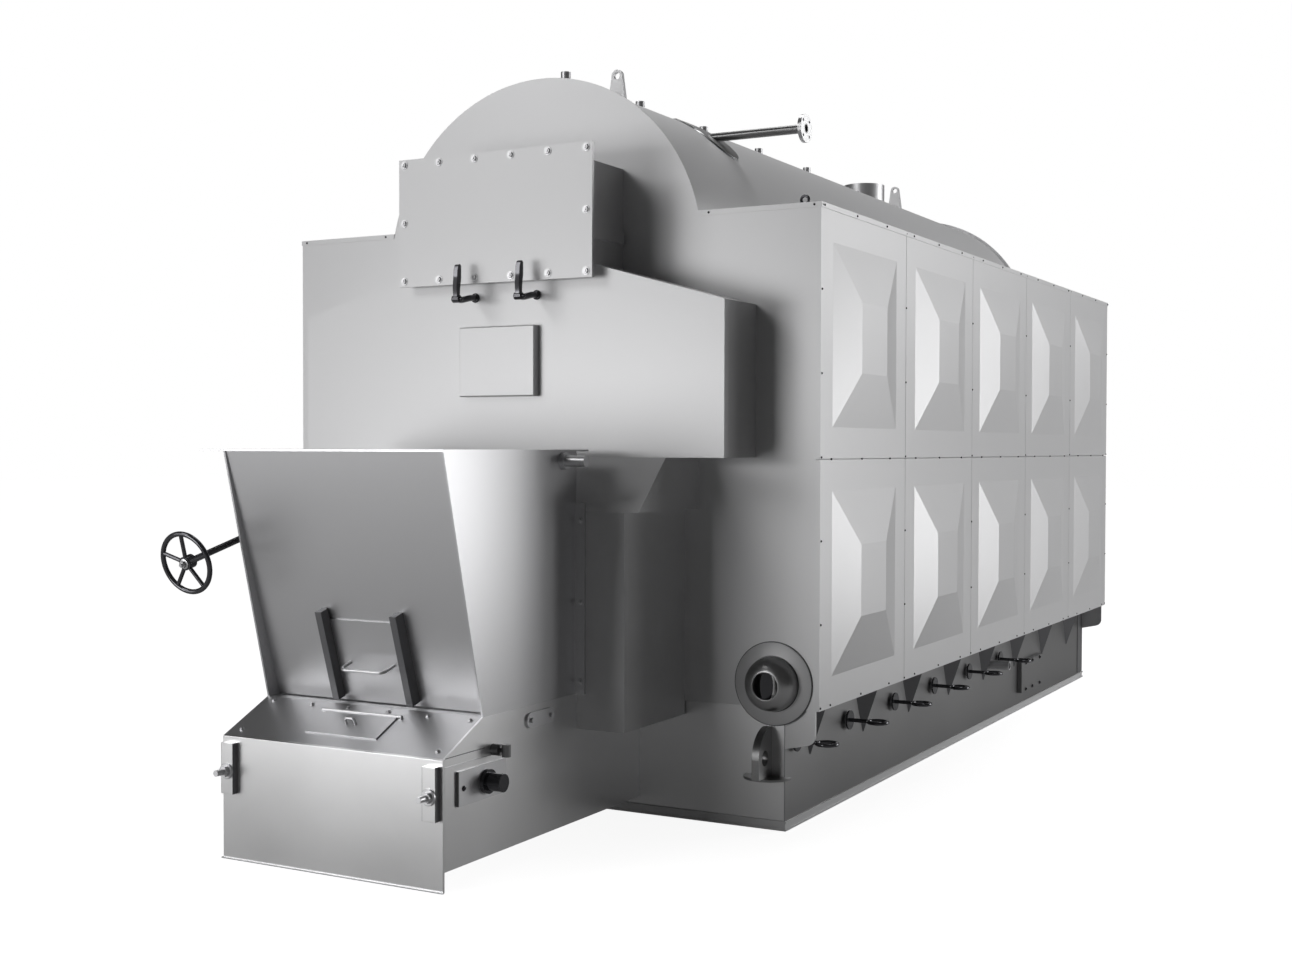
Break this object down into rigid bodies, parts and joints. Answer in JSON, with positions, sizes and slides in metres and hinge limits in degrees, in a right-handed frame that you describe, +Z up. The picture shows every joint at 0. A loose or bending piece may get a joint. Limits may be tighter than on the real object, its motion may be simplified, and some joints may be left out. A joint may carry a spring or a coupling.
{
  "type": "packaged horizontal chain-grate boiler",
  "caption": "Packaged horizontal boiler: a boxy embossed-panel casing with a half-round drum on top, a coal hopper and grate box in front, air dampers along each side",
  "frame": {"origin": "on the floor under the middle of the front wall, at the front edge of the base frame", "axes": "+Z up, the hopper end faces -Y, +X is the right hand of someone who faces the front"},
  "size_m": [2.8446, 6.9203, 3.4579],
  "materials": {
    "casing": "satin",
    "satin_sheet": "satin",
    "bracket_dark": "satin",
    "bare_steel": "satin",
    "dark_steel": "polished"
  },
  "bodies": {
    "boiler": {"base_frame": "casing", "lower_casing": "casing", "wing_plates": "casing", "support_brackets": "bracket_dark", "casing_core": "casing", "front_wall": "casing", "rear_wall": "casing", "lower_side_panels": "casing", "upper_side_panels": "casing", "top_decks": "casing", "drum_jacket": "casing", "drum_sockets": "bare_steel", "main_nozzle": "bare_steel", "lifting_lugs": "bare_steel", "steam_outlet": "casing", "deck_eye": "dark_steel", "front_cover": "casing", "door_neck": "casing", "door_plate": "casing", "door_clamps": "dark_steel", "hand_cover": "casing", "hood": "casing", "throat_box": "casing", "hopper_front": "satin_sheet", "hopper_sides": "satin_sheet", "hopper_back": "satin_sheet", "hopper_rim": "satin_sheet", "gate_shaft": "bare_steel", "slide_guides": "bracket_dark", "wheel_bearing": "dark_steel", "grate_box_front": "satin_sheet", "grate_box_sides": "satin_sheet", "grate_box_top": "satin_sheet", "tension_blocks": "satin_sheet", "tension_screws": "bare_steel", "bearing_plates": "satin_sheet", "grate_shaft": "dark_steel", "link_plates": "satin_sheet", "grease_cups": "bare_steel", "air_ports": "casing", "eye_lugs": "bare_steel", "damper_bosses": "casing", "side_plates": "casing", "drain_stub": "bare_steel", "flue_outlet": "casing"},
    "handwheel_set": {"handwheel": "dark_steel"},
    "slide_gate_set": {"slide_gate": "satin_sheet"},
    "hatch_lid_set": {"hatch_lid": "satin_sheet"},
    "damper_right_1_set": {"damper_handle_right_1": "dark_steel"},
    "damper_left_1_set": {"damper_handle_left_1": "dark_steel"},
    "damper_right_2_set": {"damper_handle_right_2": "dark_steel"},
    "damper_left_2_set": {"damper_handle_left_2": "dark_steel"},
    "damper_right_3_set": {"damper_handle_right_3": "dark_steel"},
    "damper_left_3_set": {"damper_handle_left_3": "dark_steel"},
    "damper_right_4_set": {"damper_handle_right_4": "dark_steel"},
    "damper_left_4_set": {"damper_handle_left_4": "dark_steel"},
    "damper_right_5_set": {"damper_handle_right_5": "dark_steel"},
    "damper_left_5_set": {"damper_handle_left_5": "dark_steel"},
    "damper_right_6_set": {"damper_handle_right_6": "dark_steel"},
    "damper_left_6_set": {"damper_handle_left_6": "dark_steel"}
  },
  "joints": [
    {"name": "handwheel_spin", "type": "hinge", "parent": "boiler", "child": "handwheel_set", "pos_m": [-0.585, -1.59, 1.16], "axis": [0, 0.9659, 0.2588], "continuous": true},
    {"name": "slide_gate_lift", "type": "slide", "parent": "boiler", "child": "slide_gate_set", "axis": [0, -0.2952, 0.9554], "range_m": [0, 0.19]},
    {"name": "hatch_lid_hinge", "type": "hinge", "parent": "boiler", "child": "hatch_lid_set", "pos_m": [0, -1.26055, 0.58173], "axis": [-1, 0, 0], "range_deg": [0, 75]},
    {"name": "damper_right_1_turn", "type": "hinge", "parent": "boiler", "child": "damper_right_1_set", "pos_m": [1.2255, 0.1, 0.366], "axis": [1, 0, 0], "range_deg": [0, 90]},
    {"name": "damper_left_1_turn", "type": "hinge", "parent": "boiler", "child": "damper_left_1_set", "pos_m": [-1.2255, 0.1, 0.366], "axis": [-1, 0, 0], "range_deg": [0, 90]},
    {"name": "damper_right_2_turn", "type": "hinge", "parent": "boiler", "child": "damper_right_2_set", "pos_m": [1.2255, 0.704, 0.366], "axis": [1, 0, 0], "range_deg": [0, 90]},
    {"name": "damper_left_2_turn", "type": "hinge", "parent": "boiler", "child": "damper_left_2_set", "pos_m": [-1.2255, 0.704, 0.366], "axis": [-1, 0, 0], "range_deg": [0, 90]},
    {"name": "damper_right_3_turn", "type": "hinge", "parent": "boiler", "child": "damper_right_3_set", "pos_m": [1.2255, 1.308, 0.366], "axis": [1, 0, 0], "range_deg": [0, 90]},
    {"name": "damper_left_3_turn", "type": "hinge", "parent": "boiler", "child": "damper_left_3_set", "pos_m": [-1.2255, 1.308, 0.366], "axis": [-1, 0, 0], "range_deg": [0, 90]},
    {"name": "damper_right_4_turn", "type": "hinge", "parent": "boiler", "child": "damper_right_4_set", "pos_m": [1.2255, 1.912, 0.366], "axis": [1, 0, 0], "range_deg": [0, 90]},
    {"name": "damper_left_4_turn", "type": "hinge", "parent": "boiler", "child": "damper_left_4_set", "pos_m": [-1.2255, 1.912, 0.366], "axis": [-1, 0, 0], "range_deg": [0, 90]},
    {"name": "damper_right_5_turn", "type": "hinge", "parent": "boiler", "child": "damper_right_5_set", "pos_m": [1.2255, 2.516, 0.366], "axis": [1, 0, 0], "range_deg": [0, 90]},
    {"name": "damper_left_5_turn", "type": "hinge", "parent": "boiler", "child": "damper_left_5_set", "pos_m": [-1.2255, 2.516, 0.366], "axis": [-1, 0, 0], "range_deg": [0, 90]},
    {"name": "damper_right_6_turn", "type": "hinge", "parent": "boiler", "child": "damper_right_6_set", "pos_m": [1.2255, 3.12, 0.366], "axis": [1, 0, 0], "range_deg": [0, 90]},
    {"name": "damper_left_6_turn", "type": "hinge", "parent": "boiler", "child": "damper_left_6_set", "pos_m": [-1.2255, 3.12, 0.366], "axis": [-1, 0, 0], "range_deg": [0, 90]}
  ]
}
